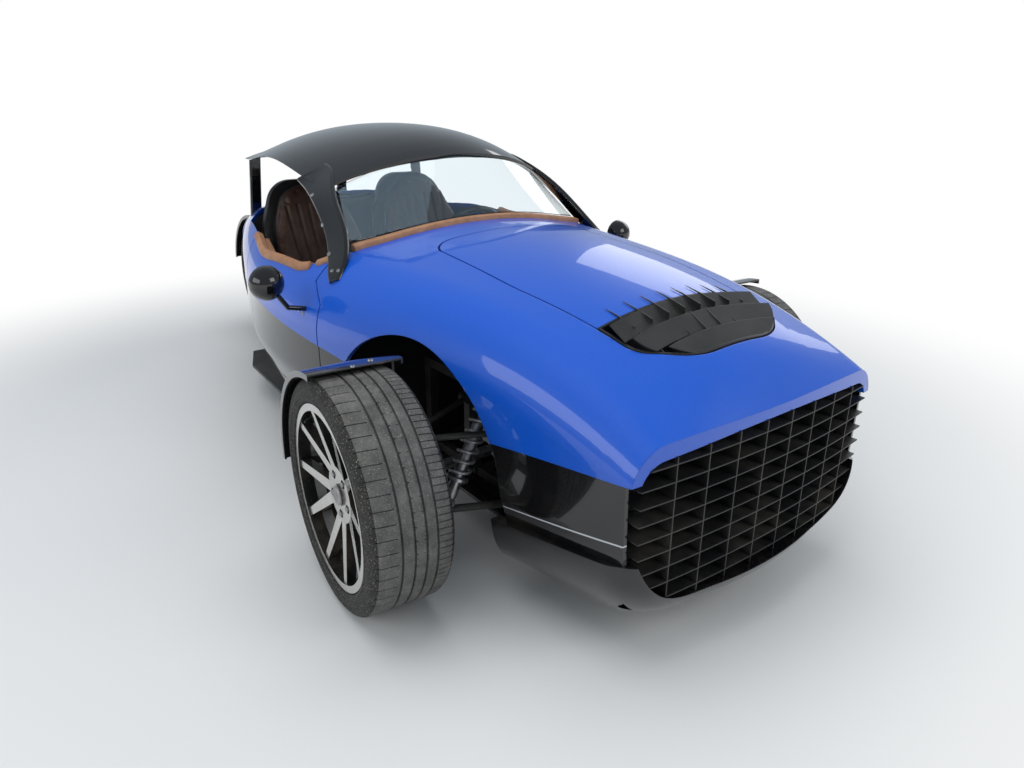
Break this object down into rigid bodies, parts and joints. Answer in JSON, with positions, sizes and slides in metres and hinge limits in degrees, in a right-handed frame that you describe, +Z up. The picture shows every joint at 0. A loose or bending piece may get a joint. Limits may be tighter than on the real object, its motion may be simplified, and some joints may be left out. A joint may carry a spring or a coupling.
{
  "type": "three wheeled car",
  "caption": "Low open sports car on steered front wheels and one rear wheel, with doors, a hinged hood, a fixed arched roof, bucket seats and a louvred grille.",
  "frame": {"origin": "on the ground under the middle of the car's box in plan", "axes": "+X forward, +Y to the car's left, +Z up"},
  "size_m": [3.6285, 1.8019, 1.1962],
  "materials": {
    "blue_paint": "deep royal blue gloss paint",
    "black_gloss": "gloss black",
    "black_satin": "satin black",
    "tan_leather": "tan leather trim",
    "brown_leather": "dark brown leather with black edges",
    "black_leather": "black leather",
    "tyre": "road tyre, dusty tread",
    "wheel_alloy": "machined and black alloy",
    "steel": "machined steel",
    "cast": "cast iron",
    "engine_alloy": "cast alloy",
    "bright_alloy": "bright alloy beam",
    "core_alloy": "dark radiator core",
    "glass": "green tinted laminated glass",
    "lamp_glass": "clear lamp lens",
    "red_lens": "red lamp lens"
  },
  "bodies": {
    "chassis": {"nose_shell": "blue_paint", "rear_body": "blue_paint", "lower_sides": "black_gloss", "belly_pan": "black_gloss", "door_frames": "black_satin", "grille": "black_satin", "lip": "black_gloss", "headlamps": "lamp_glass", "crash_bar": "bright_alloy", "radiator": "core_alloy", "front_frame": "black_satin", "front_crossbars": "black_satin", "engine": "engine_alloy", "front_arms": "black_satin", "dampers": "steel", "half_shafts": "steel", "rack_housing": "engine_alloy", "cowl_trim": "tan_leather", "windshield": "glass", "roof": "black_gloss", "roof_posts": "black_gloss", "tub": "black_satin", "dashboard": "black_leather", "seat_shells": "black_satin", "seat_pads": "brown_leather", "side_skirts": "black_satin", "rear_frame": "black_satin", "swing_arm": "black_satin", "rear_damper": "steel", "rear_fender": "black_gloss", "tail_lamps": "red_lens"},
    "hood": {"hood_panel": "blue_paint", "hood_vent": "black_satin"},
    "rack": {"tie_rods": "steel"},
    "steering_wheel": {"steering_wheel": "black_leather"},
    "wheel_rear": {"rear_tyre": "tyre", "rear_rim": "wheel_alloy", "rear_hub": "steel"},
    "knuckle_left": {"knuckle_left": "cast", "fender_left": "black_gloss"},
    "wheel_left": {"front_tyre_left": "tyre", "front_rim_left": "wheel_alloy", "front_hub_left": "steel"},
    "door_left": {"door_skin_left": "blue_paint", "door_lower_left": "black_gloss", "door_trim_left": "tan_leather", "mirror_left": "black_gloss"},
    "knuckle_right": {"knuckle_right": "cast", "fender_right": "black_gloss"},
    "wheel_right": {"front_tyre_right": "tyre", "front_rim_right": "wheel_alloy", "front_hub_right": "steel"},
    "door_right": {"door_skin_right": "blue_paint", "door_lower_right": "black_gloss", "door_trim_right": "tan_leather", "mirror_right": "black_gloss"}
  },
  "joints": [
    {"name": "steering", "type": "hinge", "parent": "chassis", "child": "knuckle_right", "pos_m": [1.083, -0.66, 0.32], "axis": [0, 0, 1], "range_deg": [-21.3, 30.7]},
    {"name": "steering_left", "type": "hinge", "parent": "chassis", "child": "knuckle_left", "pos_m": [1.083, 0.66, 0.32], "axis": [0, 0, 1], "range_deg": [-21.3, 30.7]},
    {"name": "column_turn", "type": "hinge", "parent": "chassis", "child": "steering_wheel", "pos_m": [0.065, 0.268, 0.69], "axis": [0.9511, 0, -0.309], "range_deg": [-432, 300]},
    {"name": "rack_slide", "type": "slide", "parent": "chassis", "child": "rack", "axis": [0, 1, 0], "range_m": [-0.062, 0.044]},
    {"name": "spin_right", "type": "hinge", "parent": "knuckle_right", "child": "wheel_right", "pos_m": [1.07481, -0.75966, 0.32], "axis": [0.0819, 0.9966, 0], "continuous": true},
    {"name": "spin_left", "type": "hinge", "parent": "knuckle_left", "child": "wheel_left", "pos_m": [1.09119, 0.75966, 0.32], "axis": [0.0819, 0.9966, 0], "continuous": true},
    {"name": "spin_rear", "type": "hinge", "parent": "chassis", "child": "wheel_rear", "pos_m": [-1.467, 0, 0.327], "axis": [0, 1, 0], "continuous": true},
    {"name": "door_left_swing", "type": "hinge", "parent": "chassis", "child": "door_left", "pos_m": [0.56, 0.65, 0.5], "axis": [0, 0, -1], "range_deg": [0, 62]},
    {"name": "door_right_swing", "type": "hinge", "parent": "chassis", "child": "door_right", "pos_m": [0.56, -0.65, 0.5], "axis": [0, 0, 1], "range_deg": [0, 62]},
    {"name": "hood_lift", "type": "hinge", "parent": "chassis", "child": "hood", "pos_m": [1.6525, 0, 0.738], "axis": [0, 1, 0], "range_deg": [0, 60]}
  ],
  "couplings": [
    {"joint": "steering_left", "follows": "steering", "ratio": 1},
    {"joint": "column_turn", "follows": "steering", "ratio": -14},
    {"joint": "rack_slide", "follows": "steering", "m_per_rad": -0.11}
  ]
}
